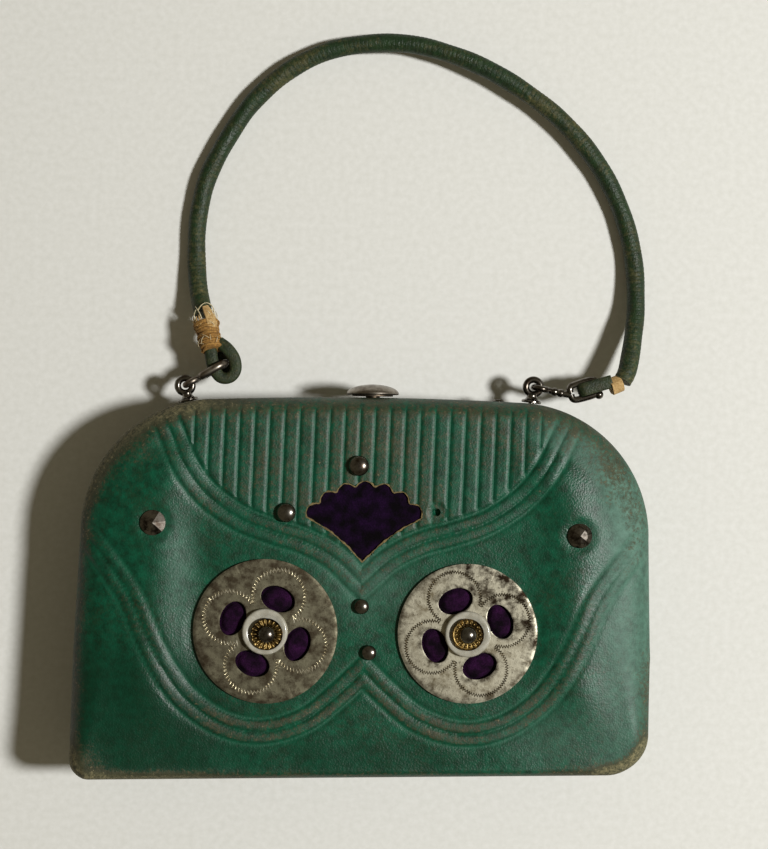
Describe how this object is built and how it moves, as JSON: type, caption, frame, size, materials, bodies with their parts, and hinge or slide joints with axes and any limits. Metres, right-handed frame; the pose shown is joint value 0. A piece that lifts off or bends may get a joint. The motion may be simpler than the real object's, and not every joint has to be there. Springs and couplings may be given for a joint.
{
  "type": "hand purse",
  "caption": "Hard-cased lady's hand purse in embossed green leather with pierced metal discs, velvet insets, hinged steel frame, push-button clasp and wound leather handle",
  "frame": {"origin": "middle of the plain back that the purse lies on", "axes": "+X to the right seen from the decorated front, +Y towards the handle, +Z out of the decorated front"},
  "size_m": [0.1433, 0.1896, 0.034],
  "materials": {
    "green_leather": "grained, worn and semi-gloss",
    "purple_velvet": "short matt pile",
    "dark_steel": "polished, tarnished dark",
    "white_metal": "pierced and engraved, tarnished",
    "gilt_brass": "gilt, dulled",
    "pearl": "smooth gloss",
    "tan_thread": "waxed thread, matt",
    "tan_core": "raw, matt"
  },
  "bodies": {
    "back_half": {"back_cover": "green_leather", "back_frame": "dark_steel", "hinge_pin_left": "dark_steel", "hinge_pin_right": "dark_steel", "catch": "dark_steel", "eye_left": "dark_steel", "eye_right": "dark_steel", "frame_rivet": "dark_steel", "hook_left": "dark_steel", "hook_right": "dark_steel", "handle": "green_leather", "binding_left": "tan_thread", "end_loop_left": "green_leather", "core_end_right": "tan_core", "end_tongue_right": "green_leather"},
    "front_half": {"front_cover": "green_leather", "front_frame": "dark_steel", "velvet_fan": "purple_velvet", "velvet_left": "purple_velvet", "velvet_right": "purple_velvet", "disc_left": "white_metal", "disc_right": "white_metal", "pearl_ring_left": "pearl", "pearl_ring_right": "pearl", "gilt_cup_left": "gilt_brass", "gilt_cup_right": "gilt_brass", "centre_stud_left": "dark_steel", "centre_stud_right": "dark_steel", "stud_top": "dark_steel", "stud_fan_left": "dark_steel", "stud_side_left": "dark_steel", "stud_side_right": "dark_steel", "stud_mid_upper": "dark_steel", "stud_mid_lower": "dark_steel"},
    "clasp": {"clasp_button": "dark_steel"}
  },
  "joints": [
    {"name": "cover_hinge", "type": "hinge", "parent": "back_half", "child": "front_half", "pos_m": [0, -0.04663, 0.014], "axis": [0.9998, 0.0202, 0], "range_deg": [0, 75]},
    {"name": "button_press", "type": "slide", "parent": "front_half", "child": "clasp", "axis": [0, -1, 0], "range_m": [0, 0.0007], "stiffness_N_per_m": 300}
  ]
}
